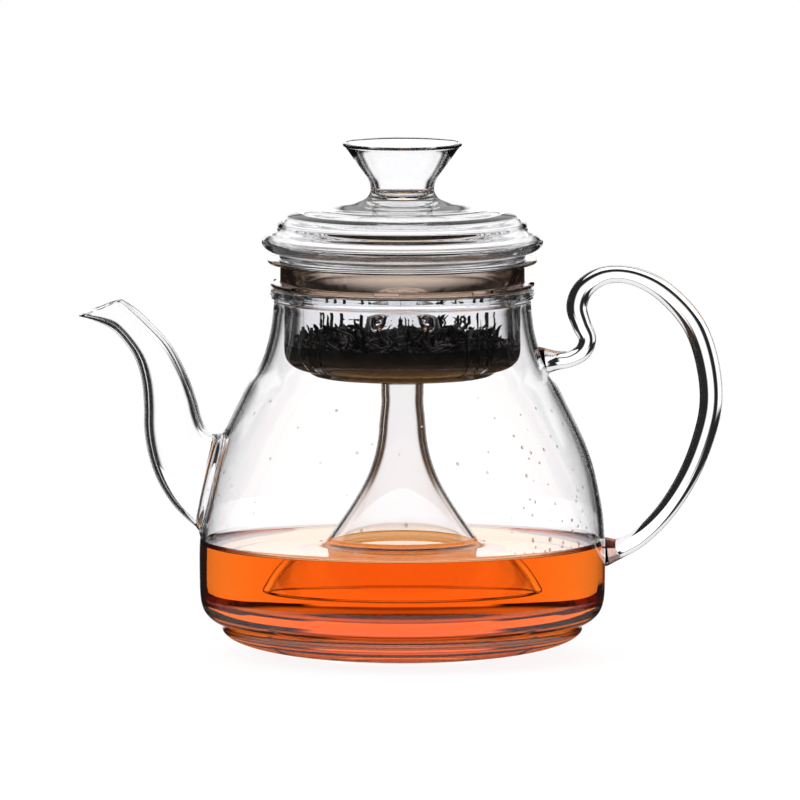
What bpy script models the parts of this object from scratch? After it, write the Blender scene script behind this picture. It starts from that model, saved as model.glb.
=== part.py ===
"""Glass steaming teapot: a blown pot with a spout and a looped rod handle, a seal ring, a steam infuser and a lid.

Metres, +Z up. The origin is the centre of the base's rest face. The spout points along -X and the handle
along +X. Sizes below are in millimetres and become metres where a mesh is made.
"""

import math

import bmesh
import bpy
from mathutils import Matrix, Vector

MM = 0.001
GAP = 0.3  # clearance between touching glass pieces
WIDE_SIDES, NARROW_SIDES = 36, 24  # facets round the wide and the narrow turned pieces

# Pot
POT_WALL = 1.8
BASE_FLAT_R = 34.0
FOOT_R, FOOT_H = 60.2, 9.2
FOOT_CURVE_START_R = 20.0
GROOVE_R, GROOVE_Z = 58.8, 10.2
BODY_R = 67.8
NECK_R, NECK_BORE_R = 43.0, 41.3
LIP_R, LIP_LOW, LIP_TOP = 44.1, 119.6, 123.5
FOOT_JOINT, NECK_JOINT = 18.0, 97.0  # heights at which the foot, the wall and the neck are fused

# Seal ring
RING_BORE_R, SPIGOT_R, COLLAR_R, RING_FLANGE_R = 39.6, 41.0, 40.8, 44.0
SPIGOT_LOW, RING_SEAT, COLLAR_LOW, COLLAR_TOP = 122.3, 123.8, 125.0, 131.1
NOTCHES, NOTCH_WIDTH, NOTCH_FLOOR_R = 8, 8.3, 42.6
NOTCH_START_DEG = -7.0

# Infuser
BASKET_R, BASKET_WALL = 39.3, 1.6
BASKET_FLANGE_R, BASKET_FLANGE_LOW, BASKET_FLANGE_TOP = 45.0, 131.4, 132.7
BASKET_FLOOR, BASKET_LEDGE_R, BASKET_JOINT = 92.0, 31.2, 97.0
SLIT_GROUPS, SLITS_PER_GROUP, SLIT_PITCH_DEG, SLIT_WIDTH = 4, 3, 6.5, 0.8
SLIT_START_DEG, SLIT_LOW, SLIT_TOP, SLIT_IN_R = 40.0, 96.0, 112.0, 34.5
TUBE_R, TUBE_WALL, TUBE_JOINT = 7.0, 1.3, 90.4
RISER_TOP, STEAM_HOLES, STEAM_HOLE_R, STEAM_HOLE_Z = 117.0, 4, 2.4, 111.5
BELL_LIP_R, BELL_LIP_Z = 35.0, 22.0

# Lid
LID_R, LID_SEAT = 47.0, 133.0
LID_FOOT_R, LID_FOOT_BORE_R = 41.2, 39.4
SKIRT_R, SKIRT_WALL, SKIRT_LOW = 36.2, 1.6, 118.4
KNOB_R, KNOB_TOP = 20.0, 171.5

# Spout: where its underside and its upper side run in the XZ plane, and its half width along Y
SPOUT_WALL = 1.5
SPOUT_STATIONS = [
    ((-108.2, 113.5), (-93.8, 119.2), 4.9),
    ((-103.0, 112.0), (-91.6, 118.0), 5.1),
    ((-97.0, 109.1), (-89.0, 116.2), 5.3),
    ((-92.6, 104.6), (-84.4, 112.0), 5.7),
    ((-88.9, 98.8), (-77.0, 103.8), 6.5),
    ((-86.9, 91.6), (-71.4, 93.2), 7.9),
    ((-86.2, 83.6), (-68.4, 84.6), 8.9),
    ((-86.1, 75.4), (-66.9, 79.0), 9.8),
    ((-84.6, 66.6), (-65.2, 75.6), 10.6),
    ((-81.5, 58.0), (-62.0, 73.6), 11.2),
    ((-76.0, 49.4), (-58.0, 73.4), 11.8),
    ((-68.6, 42.8), (-54.0, 73.8), 12.2),
]
SPOUT_SIDES = 20
SPOUT_SECTIONS = {"spout_mouth": (0, 4), "spout_throat": (4, 8), "spout_root": (8, 11)}  # first and last station
PORT_Z, PORT_HALF_HEIGHT, PORT_HALF_WIDTH = 59.0, 12.4, 9.6

# Handle: the rod's centre line in the XZ plane
ROD_R = 3.6
HANDLE_LINE = [
    (46.5, 100.6), (52.0, 99.4), (57.4, 99.8), (60.3, 103.4), (58.9, 110.0), (58.2, 117.5), (61.6, 124.0),
    (69.0, 127.3), (80.6, 125.4), (90.2, 119.0), (97.6, 109.6), (101.8, 97.0), (102.8, 84.0), (100.0, 71.5),
    (94.6, 58.6), (86.6, 46.6), (78.2, 38.6), (72.4, 35.6), (65.0, 34.2),
]


def smooth_line(points, steps=4):
    """Points of a smooth curve that passes through every given point."""
    line = []
    for i in range(len(points) - 1):
        p0, p1 = Vector(points[max(i - 1, 0)]), Vector(points[i])
        p2, p3 = Vector(points[i + 1]), Vector(points[min(i + 2, len(points) - 1)])
        for k in range(steps):
            t = k / steps
            line.append(
                tuple(
                    0.5
                    * (
                        2 * p1
                        + (p2 - p0) * t
                        + (2 * p0 - 5 * p1 + 4 * p2 - p3) * t**2
                        + (3 * p1 - p0 - 3 * p2 + p3) * t**3
                    )
                )
            )
    line.append(tuple(points[-1]))
    return line


def offset_line(line, distance):
    """The line moved sideways, to the right as it is followed."""
    moved = []
    for i, point in enumerate(line):
        before, after = Vector(line[max(i - 1, 0)]), Vector(line[min(i + 1, len(line) - 1)])
        along = (after - before).normalized()
        moved.append((max(point[0] + along.y * distance, 0.0), point[1] - along.x * distance))
    return moved


def link(mesh, name, material):
    """Puts a mesh in the scene as an object with a material."""
    piece = bpy.data.objects.new(name, mesh)
    bpy.context.collection.objects.link(piece)
    if material:
        mesh.materials.append(material)
    return piece


def turned(name, outline, material, sides=WIDE_SIDES):
    """A body of revolution about Z. An outline that starts and ends on the axis stays open there."""
    bm = bmesh.new()
    verts = [bm.verts.new((r * MM, 0, z * MM)) for r, z in outline]
    edges = [bm.edges.new(pair) for pair in zip(verts, verts[1:])]
    on_axis = outline[0][0] == 0 and outline[-1][0] == 0
    if not on_axis:
        edges.append(bm.edges.new((verts[-1], verts[0])))
    bmesh.ops.spin(
        bm, geom=verts + edges, cent=(0, 0, 0), axis=(0, 0, 1), angle=2 * math.pi, steps=sides, use_merge=True
    )
    bmesh.ops.remove_doubles(bm, verts=bm.verts, dist=1e-6)
    bmesh.ops.recalc_face_normals(bm, faces=bm.faces)
    mesh = bpy.data.meshes.new(name)
    bm.to_mesh(mesh)
    bm.free()
    mesh.shade_smooth()
    mesh.set_sharp_from_angle(angle=math.radians(35))
    return link(mesh, name, material)


def lofted(name, rings, material, bore_rings=None):
    """A tube through closed rings of points, solid, or hollow where bore rings are given."""
    bm = bmesh.new()
    skins = [[[bm.verts.new(Vector(p) * MM) for p in ring] for ring in skin] for skin in (rings, bore_rings or [])]
    for skin in skins:
        for ring, following in zip(skin, skin[1:]):
            bridge(bm, ring, following)
    if bore_rings:
        bridge(bm, skins[0][0], skins[1][0])
        bridge(bm, skins[0][-1], skins[1][-1])
    else:
        bm.faces.new(skins[0][0])
        bm.faces.new(skins[0][-1])
    bmesh.ops.recalc_face_normals(bm, faces=bm.faces)
    mesh = bpy.data.meshes.new(name)
    bm.to_mesh(mesh)
    bm.free()
    mesh.shade_smooth()
    return link(mesh, name, material)


def bridge(bm, ring, following):
    """Faces between one ring of vertices and the following one."""
    for i in range(len(ring)):
        j = (i + 1) % len(ring)
        bm.faces.new((ring[i], ring[j], following[j], following[i]))


def cut(piece, cutter):
    """Takes the cutter's shape away from the piece."""
    cutter.hide_render = True
    cutter.display_type = "WIRE"
    modifier = piece.modifiers.new(cutter.name, "BOOLEAN")
    modifier.operation = "DIFFERENCE"
    modifier.solver = "EXACT"
    modifier.object = cutter


def box_cutter(name, size, centre, turn_deg):
    """A box whose X side is radial, set at its centre and then turned about the pot's axis."""
    bm = bmesh.new()
    bmesh.ops.create_cube(bm, size=1.0)
    bmesh.ops.scale(bm, vec=Vector(size) * MM, verts=bm.verts)
    bmesh.ops.translate(bm, vec=Vector(centre) * MM, verts=bm.verts)
    bmesh.ops.rotate(bm, cent=(0, 0, 0), matrix=Matrix.Rotation(math.radians(turn_deg), 3, "Z"), verts=bm.verts)
    mesh = bpy.data.meshes.new(name)
    bm.to_mesh(mesh)
    bm.free()
    return link(mesh, name, None)


def material(name, colour, roughness, transmission=0.0, alpha=1.0):
    made = bpy.data.materials.new(name)
    made.use_nodes = True
    shader = made.node_tree.nodes["Principled BSDF"]
    shader.inputs["Base Color"].default_value = (*colour, 1.0)
    shader.inputs["Roughness"].default_value = roughness
    shader.inputs["Metallic"].default_value = 0.0
    shader.inputs["Transmission Weight"].default_value = transmission
    shader.inputs["Alpha"].default_value = alpha
    made.diffuse_color = (*colour, alpha)
    return made


def between(line, low, high):
    """The part of a line, in either direction, whose heights are between two heights."""
    found = []
    for (r0, z0), (r1, z1) in zip(line, line[1:]):
        if low <= z0 <= high:
            found.append((r0, z0))
        ends = [(z - z0) / (z1 - z0) for z in (low, high) if min(z0, z1) < z < max(z0, z1)]
        found += [(r0 + (r1 - r0) * share, z0 + (z1 - z0) * share) for share in sorted(ends)]
    if low <= line[-1][1] <= high:
        found.append(line[-1])
    return found


def pot_outside():
    """The pot's outer side from the centre of its base up to the lip."""
    foot = []
    for degrees in (30, 42, 54, 66, 78, 90):
        turn = math.radians(degrees)
        foot.append(
            (
                FOOT_CURVE_START_R + (FOOT_R - FOOT_CURVE_START_R) * math.sin(turn),
                FOOT_H * (1 - math.cos(turn)),
            )
        )
    corner = [(GROOVE_R, GROOVE_Z), (61.6, 10.9), (64.1, 12.4), (66.0, 14.3), (67.1, 16.8)]
    wall = [
        (67.7, 20.5), (BODY_R, 30.0), (67.2, 45.0), (65.0, 58.3), (60.8, 71.7), (54.6, 85.1), (48.6, 95.2),
        (44.7, 105.3),
    ]
    neck = [(43.5, 112.0), (NECK_R, 117.0), (NECK_R, LIP_LOW - 1)]
    lip = [(LIP_R - 0.3, LIP_LOW), (LIP_R, LIP_LOW + 1.2), (LIP_R, LIP_TOP - 1.2), (LIP_R - 0.7, LIP_TOP - 0.1)]
    return [(0.0, 0.0), (BASE_FLAT_R, 0.0)] + foot[1:] + corner + wall + neck + lip


def pot_inside():
    """The pot's inner side from the lip down to the floor's centre: a wall's thickness inside the outer side."""
    outside = pot_outside()
    wall = [p for p in outside if 18.0 < p[1] < 113.0]
    inner_wall = [(r - POT_WALL, z) for r, z in reversed(wall)]
    corner = [(65.2, 17.2), (64.0, 15.2), (61.9, 13.3), (58.6, 12.0), (57.2, 10.4)]
    floor = [(54.6, 7.6), (50.0, 5.4), (43.0, 3.6), (36.0, 2.6), (28.0, 2.2), (0.0, 2.0)]
    neck = [(NECK_BORE_R + 0.5, LIP_TOP), (NECK_BORE_R, LIP_TOP - 0.9), (NECK_BORE_R, 117.0)]
    return neck + inner_wall + corner + floor


def make_pot(glass):
    """Foot, wall and neck, which are fused to each other, with the spout's port in the wall."""
    sections = {
        "pot_foot": (0.0, FOOT_JOINT),
        "pot_wall": (FOOT_JOINT + GAP, NECK_JOINT),
        "pot_neck": (NECK_JOINT + GAP, LIP_TOP),
    }
    for name, (low, high) in sections.items():
        turned(name, between(pot_outside(), low, high) + between(pot_inside(), low, high), glass)
    port = lofted("spout_port_cutter", [port_ring(-74.0), port_ring(-50.0)], None)
    cut(bpy.data.objects["pot_wall"], port)


def port_ring(x):
    """The oval opening from the pot into the spout."""
    count = 20
    return [
        (
            x,
            PORT_HALF_WIDTH * math.cos(2 * math.pi * k / count),
            PORT_Z + PORT_HALF_HEIGHT * math.sin(2 * math.pi * k / count),
        )
        for k in range(count)
    ]


def pot_clearance(name):
    """The pot's outer shape, a gap larger all round, which trims what is fused to the pot's wall."""
    outline = [(r + GAP if r else 0.0, z) for r, z in pot_outside()]
    return turned(name, outline + [(0.0, LIP_TOP)], None)


def spout_ring(low, high, half_width, inset):
    """An oval section of the spout between its underside and its upper side, made smaller by an inset."""
    low, high = Vector((low[0], 0, low[1])), Vector((high[0], 0, high[1]))
    centre, up = (low + high) / 2, (high - low) / 2
    up = up.normalized() * (up.length - inset)
    side = Vector((0, half_width - inset, 0))
    return [
        centre + up * math.sin(2 * math.pi * k / SPOUT_SIDES) + side * math.cos(2 * math.pi * k / SPOUT_SIDES)
        for k in range(SPOUT_SIDES)
    ]


def make_spout(glass):
    """Three lengths of the tapering tube, fused end to end, with the last one trimmed to the pot's wall."""
    outside = [spout_ring(low, high, width, 0.0) for low, high, width in SPOUT_STATIONS]
    bore = [spout_ring(low, high, width, SPOUT_WALL) for low, high, width in SPOUT_STATIONS]
    for name, (first, last) in SPOUT_SECTIONS.items():
        skins = [list(skin[first : last + 1]) for skin in (outside, bore)]
        if first > 0:
            for skin in skins:
                skin[0] = [p + (q - p).normalized() * GAP for p, q in zip(skin[0], skin[1])]
        lofted(name, skins[0], glass, skins[1])
    cut(bpy.data.objects["spout_root"], pot_clearance("spout_trim"))


def make_handle(glass):
    """The glass rod, a looped handle, trimmed where it is fused to the pot's wall."""
    line = smooth_line([(x, 0.0, z) for x, z in HANDLE_LINE], 3)
    curve = bpy.data.curves.new("handle_rod", "CURVE")
    curve.dimensions = "3D"
    curve.bevel_depth = ROD_R * MM
    curve.bevel_resolution = 3
    curve.use_fill_caps = True
    spline = curve.splines.new("POLY")
    spline.points.add(len(line) - 1)
    for point, place in zip(spline.points, line):
        point.co = (*(Vector(place) * MM), 1.0)
    curve.materials.append(glass)
    handle = bpy.data.objects.new("handle", curve)
    bpy.context.collection.objects.link(handle)
    bpy.context.view_layer.update()
    mesh = bpy.data.meshes.new_from_object(handle)
    bpy.data.objects.remove(handle)
    mesh.name = "handle"
    mesh.shade_smooth()
    handle = link(mesh, "handle", None)
    cut(handle, pot_clearance("handle_trim"))


def make_seal_ring(silicone):
    """The ring between pot and basket: a spigot in the pot's mouth, a notched flange on its lip and a collar."""
    outline = [
        (RING_BORE_R, SPIGOT_LOW), (SPIGOT_R, SPIGOT_LOW), (SPIGOT_R, RING_SEAT), (RING_FLANGE_R - 0.2, RING_SEAT),
        (RING_FLANGE_R, RING_SEAT + 0.3), (RING_FLANGE_R, COLLAR_LOW - 0.3), (RING_FLANGE_R - 0.3, COLLAR_LOW - 0.1),
        (COLLAR_R, COLLAR_LOW), (COLLAR_R, COLLAR_TOP - 0.2), (COLLAR_R - 0.2, COLLAR_TOP), (RING_BORE_R, COLLAR_TOP),
    ]
    ring = turned("seal_ring", outline, silicone)
    for k in range(NOTCHES):
        turn = -90 + NOTCH_START_DEG + 360 / NOTCHES * k
        size = (4.0, NOTCH_WIDTH, 3.0)
        cut(ring, box_cutter(f"notch_cutter_{k + 1}", size, (NOTCH_FLOOR_R + 2.0, 0, COLLAR_LOW + 0.6), turn))


def basket_outside():
    """The basket's outer side, from its flange down to the tube's hole in its floor."""
    return [
        (BASKET_FLANGE_R - 0.5, BASKET_FLANGE_TOP), (BASKET_FLANGE_R, BASKET_FLANGE_TOP - 0.5),
        (BASKET_FLANGE_R - 0.4, BASKET_FLANGE_LOW), (BASKET_R, BASKET_FLANGE_LOW), (BASKET_R, 101.6),
        (38.7, 99.2), (37.2, 97.2), (34.8, 95.8),
        (BASKET_LEDGE_R + 0.4, 95.2), (BASKET_LEDGE_R - 0.6, 94.0), (28.6, 93.0), (24.0, 92.4), (16.0, BASKET_FLOOR),
        (TUBE_R + 0.4, BASKET_FLOOR),
    ]


def basket_inside():
    """The basket's inner side, from the tube's hole up to its flange."""
    return [
        (TUBE_R + 0.4, BASKET_FLOOR + BASKET_WALL), (16.0, BASKET_FLOOR + BASKET_WALL), (23.6, 94.0), (28.0, 94.7),
        (29.4, 95.6), (30.6, 96.7), (34.0, 97.4), (36.0, 98.6), (37.2, 100.2), (BASKET_R - BASKET_WALL, 102.2),
        (BASKET_R - BASKET_WALL, BASKET_FLANGE_TOP - 0.8), (BASKET_R - BASKET_WALL + 0.7, BASKET_FLANGE_TOP),
    ]


def make_basket(glass):
    """The basket's cup and its floor, fused at a joint that the slits cross."""
    cup = turned(
        "basket_cup",
        between(basket_outside(), BASKET_JOINT + GAP, BASKET_FLANGE_TOP)
        + between(basket_inside(), BASKET_JOINT + GAP, BASKET_FLANGE_TOP),
        glass,
    )
    floor = turned(
        "basket_floor",
        between(basket_outside(), BASKET_FLOOR, BASKET_JOINT) + between(basket_inside(), BASKET_FLOOR, BASKET_JOINT),
        glass,
    )
    length = BASKET_R + 3 - SLIT_IN_R
    for group in range(SLIT_GROUPS):
        for k in range(SLITS_PER_GROUP):
            turn = -90 + SLIT_START_DEG + 360 / SLIT_GROUPS * group + SLIT_PITCH_DEG * (k - 1)
            cutter = box_cutter(
                f"slit_cutter_{group + 1}_{k + 1}",
                (length, SLIT_WIDTH, SLIT_TOP - SLIT_LOW),
                (SLIT_IN_R + length / 2, 0, (SLIT_TOP + SLIT_LOW) / 2),
                turn,
            )
            cut(cup, cutter)
            cut(floor, cutter)


def make_riser(glass):
    """The closed top of the steam tube, inside the basket, with its steam holes."""
    side = [(TUBE_R, TUBE_JOINT + GAP), (TUBE_R, 94.0), (8.3, 98.0), (11.4, 102.0), (12.9, 106.0), (12.7, 109.0)]
    crown = [(11.2, 112.2), (8.7, 114.7), (5.0, 116.4), (0.0, RISER_TOP)]
    outside = side + crown
    inside = offset_line(outside, -TUBE_WALL)
    inside[0] = (TUBE_R - TUBE_WALL, outside[0][1])
    inside[-1] = (0.0, RISER_TOP - TUBE_WALL)
    riser = turned("steam_riser", [*reversed(outside), *inside], glass, NARROW_SIDES)
    for k in range(STEAM_HOLES):
        turn = math.radians(45 + 360 / STEAM_HOLES * k)
        cut(riser, hole_cutter(f"steam_hole_cutter_{k + 1}", turn))


def hole_cutter(name, turn):
    """A rod that points up and out of the riser's crown at 40 degrees."""
    bm = bmesh.new()
    radius = STEAM_HOLE_R * MM
    bmesh.ops.create_cone(bm, cap_ends=True, segments=12, radius1=radius, radius2=radius, depth=8 * MM)
    lean = Matrix.Rotation(turn, 4, "Z") @ Matrix.Rotation(math.radians(50), 4, "Y")
    place = Matrix.Rotation(turn, 4, "Z") @ Vector((11.2 * MM, 0, STEAM_HOLE_Z * MM))
    bmesh.ops.transform(bm, matrix=Matrix.Translation(place) @ lean, verts=bm.verts)
    mesh = bpy.data.meshes.new(name)
    bm.to_mesh(mesh)
    bm.free()
    return link(mesh, name, None)


def make_bell(glass):
    """The steam tube below the basket, flaring to the bell's lip in the tea."""
    outside = [
        (TUBE_R, TUBE_JOINT), (7.1, 84.0), (7.8, 74.0), (9.4, 66.0), (12.3, 58.3), (16.2, 51.6), (20.7, 44.9),
        (25.3, 38.6), (29.6, 32.6), (33.0, 26.8), (BELL_LIP_R, BELL_LIP_Z),
    ]
    inside = offset_line(outside, TUBE_WALL)
    inside[0] = (TUBE_R - TUBE_WALL, outside[0][1])
    turned("steam_bell", [*outside, *reversed(inside)], glass)


def make_lid_dome(glass):
    """The lid's top with its rolled rim and the foot that stands on the basket's flange."""
    top = [
        (0.0, 151.6), (12.0, 151.4), (22.5, 150.2), (31.0, 149.0), (37.6, 147.8), (40.2, 146.3), (41.8, 144.0),
        (43.3, 142.1), (45.6, 140.6), (46.8, 139.4),
    ]
    rim = [(LID_R, 138.2), (46.4, 136.8), (44.8, 135.6), (42.2, 134.8)]
    foot = [(LID_FOOT_R, 134.2), (LID_FOOT_R, LID_SEAT), (LID_FOOT_BORE_R, LID_SEAT), (LID_FOOT_BORE_R, 135.2)]
    under = [
        (41.6, 136.5), (44.2, 137.4), (45.0, 138.3), (44.4, 139.3), (42.4, 140.6), (41.0, 141.8), (40.2, 143.2),
        (38.8, 145.2), (36.8, 146.1), (31.0, 147.2), (22.5, 148.4), (12.0, 149.6), (0.0, 149.8),
    ]
    turned("lid_dome", top + rim + foot + under, glass)


def make_lid_skirt(glass):
    """The tube under the lid that sits down inside the basket."""
    bore = SKIRT_R - SKIRT_WALL
    outline = [
        (SKIRT_R, SKIRT_LOW + 0.7), (SKIRT_R, 131.4), (SKIRT_R + 0.7, 132.7), (38.2, 133.1),
        (LID_FOOT_BORE_R - GAP, 133.2), (LID_FOOT_BORE_R - GAP, 134.6), (37.4, 134.6), (35.6, 134.0), (bore, 132.4),
        (bore, SKIRT_LOW + 0.7), (bore + 0.4, SKIRT_LOW), (SKIRT_R - 0.4, SKIRT_LOW),
    ]
    turned("lid_skirt", outline, glass)


def make_knob(glass):
    """The hollow trumpet that the lid is lifted by, open at its top."""
    outside = smooth_line(
        [(KNOB_R, KNOB_TOP - 0.6), (16.0, 165.6), (11.4, 159.2), (10.6, 155.8), (12.2, 153.4), (15.4, 151.8)], 2
    )
    inside = [(9.6, 153.6), (9.1, 155.8), (9.9, 159.4), (14.4, 166.2), (KNOB_R - 1.6, KNOB_TOP - 0.6)]
    lip = [(KNOB_R - 1.1, KNOB_TOP), (KNOB_R - 0.5, KNOB_TOP)]
    outline = [(0.0, 151.9), (11.8, 151.72), (15.2, 151.5)] + list(reversed(outside)) + list(reversed(lip))
    outline += list(reversed(inside)) + [(8.4, 152.9), (0.0, 152.9)]
    turned("lid_knob", outline, glass, NARROW_SIDES)


def main():
    for piece in list(bpy.data.objects):
        bpy.data.objects.remove(piece)
    glass = material("clear borosilicate glass", (0.96, 0.98, 0.98), 0.02, transmission=1.0, alpha=0.35)
    silicone = material("smoke brown silicone", (0.45, 0.32, 0.24), 0.35, alpha=0.8)
    make_pot(glass)
    make_spout(glass)
    make_handle(glass)
    make_seal_ring(silicone)
    make_basket(glass)
    make_riser(glass)
    make_bell(glass)
    make_lid_dome(glass)
    make_lid_skirt(glass)
    make_knob(glass)


main()
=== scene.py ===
"""Looks of a clear glass steaming teapot with tea in it.

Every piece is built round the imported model, in metres, with the pot's axis on Z. Profiles are lists of
(radius, height) in millimetres. The glass pieces are fused as the real ones are: pot, spout and handle are
one piece, and so are the infuser and the lid.
"""

import math
import random

import bpy
from mathutils import Matrix, Vector, noise


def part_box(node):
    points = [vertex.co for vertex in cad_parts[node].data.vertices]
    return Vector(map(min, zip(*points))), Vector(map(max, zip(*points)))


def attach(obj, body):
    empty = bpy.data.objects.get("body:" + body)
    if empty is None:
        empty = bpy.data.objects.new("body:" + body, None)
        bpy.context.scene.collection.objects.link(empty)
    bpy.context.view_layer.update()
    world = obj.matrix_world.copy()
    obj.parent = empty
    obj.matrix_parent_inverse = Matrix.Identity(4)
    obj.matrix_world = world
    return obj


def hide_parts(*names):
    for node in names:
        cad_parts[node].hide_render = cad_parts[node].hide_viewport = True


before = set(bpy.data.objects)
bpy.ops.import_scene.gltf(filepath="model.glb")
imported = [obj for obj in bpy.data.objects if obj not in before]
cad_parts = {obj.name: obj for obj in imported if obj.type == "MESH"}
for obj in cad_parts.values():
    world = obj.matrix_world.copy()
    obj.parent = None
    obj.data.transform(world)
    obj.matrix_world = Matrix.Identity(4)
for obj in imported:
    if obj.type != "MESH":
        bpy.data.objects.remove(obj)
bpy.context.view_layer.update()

MM = 0.001
TURN_STEPS = 160  # facets round a turned piece

# ---------------------------------------------------------------- sizes, in millimetres

POT_WALL = 1.8
BASE_FLAT_R = 34.0
FOOT_R, FOOT_H, FOOT_CURVE_START_R = 60.2, 9.2, 20.0
NECK_BORE_R = 41.3
LIP_R, LIP_TOP = 44.1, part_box("pot_neck")[1].z / MM

TEA_LEVEL = 37.2
TEA_INTO_GLASS = 0.12  # the tea reaches this far into the glass, so that no film of air shows between them

TUBE_WALL = 1.3
RISER_TOP = 116.95
BASKET_R, BASKET_WALL = 39.3, 1.6
SLIT_GROUPS, SLITS_PER_GROUP, SLIT_PITCH_DEG, SLIT_WIDTH = 4, 3, 6.5, 0.8
SLIT_START_DEG, SLIT_LOW, SLIT_TOP, SLIT_IN_R = 40.0, 96.0, 112.0, 34.5
STEAM_HOLES, STEAM_HOLE_R, STEAM_HOLE_Z = 4, 2.4, 111.5

RING_BORE_R, SPIGOT_R, COLLAR_R, RING_FLANGE_R = 39.6, 41.0, 40.8, 44.0
SPIGOT_LOW, RING_SEAT, COLLAR_LOW, COLLAR_TOP = 122.3, 123.8, 125.0, 131.1
NOTCHES, NOTCH_WIDTH, NOTCH_FLOOR_R, NOTCH_START_DEG = 8, 8.3, 42.6, -7.0

SPOUT_WALL = 1.5
SPOUT_STATIONS = [
    ((-108.2, 113.5), (-93.8, 119.2), 4.9),
    ((-103.0, 112.0), (-91.6, 118.0), 5.1),
    ((-97.0, 109.1), (-89.0, 116.2), 5.3),
    ((-92.6, 104.6), (-84.4, 112.0), 5.7),
    ((-88.9, 98.8), (-77.0, 103.8), 6.5),
    ((-86.9, 91.6), (-71.4, 93.2), 7.9),
    ((-86.2, 83.6), (-68.4, 84.6), 8.9),
    ((-86.1, 75.4), (-66.9, 79.0), 9.8),
    ((-84.6, 66.6), (-65.2, 75.6), 10.6),
    ((-81.5, 58.0), (-62.0, 73.6), 11.2),
    ((-76.0, 49.4), (-58.0, 73.4), 11.8),
    ((-68.6, 42.8), (-54.0, 73.8), 12.2),
    ((-60.0, 39.0), (-50.0, 74.0), 12.4),
]
# The handle's rod: its centre line in the XZ plane, with the rod's radius there
HANDLE_STATIONS = [
    (44.8, 98.4, 5.0), (48.2, 98.4, 4.2), (51.8, 98.6, 3.2), (55.8, 99.1, 2.8), (60.1, 101.5, 2.8),
    (61.7, 105.6, 2.9), (59.7, 110.6, 3.2), (58.1, 116.6, 3.5), (60.4, 122.6, 3.4), (66.6, 126.8, 3.1),
    (74.0, 127.4, 3.0), (82.6, 124.6, 3.3), (90.4, 118.8, 3.6), (97.6, 109.6, 3.8), (101.8, 97.0, 3.9),
    (102.8, 84.0, 3.8), (100.0, 71.5, 3.6), (94.6, 58.6, 3.4), (86.6, 46.6, 3.2), (78.2, 38.6, 3.1),
    (72.4, 35.6, 3.4), (68.8, 34.8, 4.6), (66.4, 34.4, 5.2),
]

# Tea leaves: the heap's height, how far it reaches, how far leaves stay off the glass, and how many of them
# lie on the heap, lie against the basket's wall and stick out
LEAF_TOP, LEAF_REACH, LEAF_CLEAR = 106.0, 36.9, 0.3
TOP_LEAVES, WALL_LEAVES, STEMS = 640, 380, 26

# Droplets of condensed steam on the pot's inner wall
DROPLETS = 110

# Bright panels of the light tent: centre and half width in degrees from straight behind the pot, counted
# towards the spout, the lowest and highest rise of a direction that meets them, and their share of the full
# brightness. One stands behind the pot for each side that it is looked at from, and the brightest lies just
# above the horizon, where the tea's surface mirrors it.
TENT_PANELS = [
    (0, 7, -0.2, 0.0, 0.7),
    (0, 12, 0.06, 0.16, 1.0),
    (0, 50, 0.28, 0.85, 0.55),
    (45, 17, -0.75, -0.05, 0.7),
    (90, 20, -0.3, 0.16, 0.7),
    (-135, 26, -0.62, 0.05, 0.7),
]
TENT_BRIGHTNESS = 1.7

# ---------------------------------------------------------------- curves


def curve_through(points, steps=6):
    """Points of a smooth curve through every given point, eased by the distance between them."""
    known = [Vector(p) for p in points]
    known = [2 * known[0] - known[1], *known, 2 * known[-1] - known[-2]]
    line = []
    for p0, p1, p2, p3 in zip(known, known[1:], known[2:], known[3:]):
        t0, t1 = 0.0, math.sqrt((p1 - p0).length)
        t2 = t1 + math.sqrt((p2 - p1).length)
        t3 = t2 + math.sqrt((p3 - p2).length)
        for k in range(steps):
            t = t1 + (t2 - t1) * k / steps
            a1 = p0.lerp(p1, (t - t0) / (t1 - t0))
            a2 = p1.lerp(p2, (t - t1) / (t2 - t1))
            a3 = p2.lerp(p3, (t - t2) / (t3 - t2))
            b1 = a1.lerp(a2, (t - t0) / (t2 - t0))
            b2 = a2.lerp(a3, (t - t1) / (t3 - t1))
            line.append(tuple(b1.lerp(b2, (t - t1) / (t2 - t1))))
    line.append(tuple(points[-1]))
    return line


def offset_line(line, distance):
    """The line moved sideways, to the right as it is followed."""
    moved = []
    for i, point in enumerate(line):
        before, after = Vector(line[max(i - 1, 0)]), Vector(line[min(i + 1, len(line) - 1)])
        along = (after - before).normalized()
        moved.append((max(point[0] + along.y * distance, 0.0), point[1] - along.x * distance))
    return moved


def arc(centre, radius, start_deg, end_deg, steps=6):
    """Points of an arc in the (radius, height) plane, counted from the outward direction."""
    turns = [math.radians(start_deg + (end_deg - start_deg) * k / steps) for k in range(steps + 1)]
    return [(centre[0] + radius * math.cos(t), centre[1] + radius * math.sin(t)) for t in turns]


def radius_at(line, height):
    """The profile's radius at a height, on a line that climbs."""
    for (r0, z0), (r1, z1) in zip(line, line[1:]):
        if min(z0, z1) <= height <= max(z0, z1) and z0 != z1:
            return r0 + (r1 - r0) * (height - z0) / (z1 - z0)
    return line[-1][0] if height > line[-1][1] else line[0][0]


# ---------------------------------------------------------------- modelling


def only(*pieces):
    """Selects these pieces and nothing else."""
    if bpy.context.object and bpy.context.object.mode != "OBJECT":
        bpy.ops.object.mode_set(mode="OBJECT")
    bpy.ops.object.select_all(action="DESELECT")
    for piece in pieces:
        piece.select_set(True)
    bpy.context.view_layer.objects.active = pieces[0] if pieces else None


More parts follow.
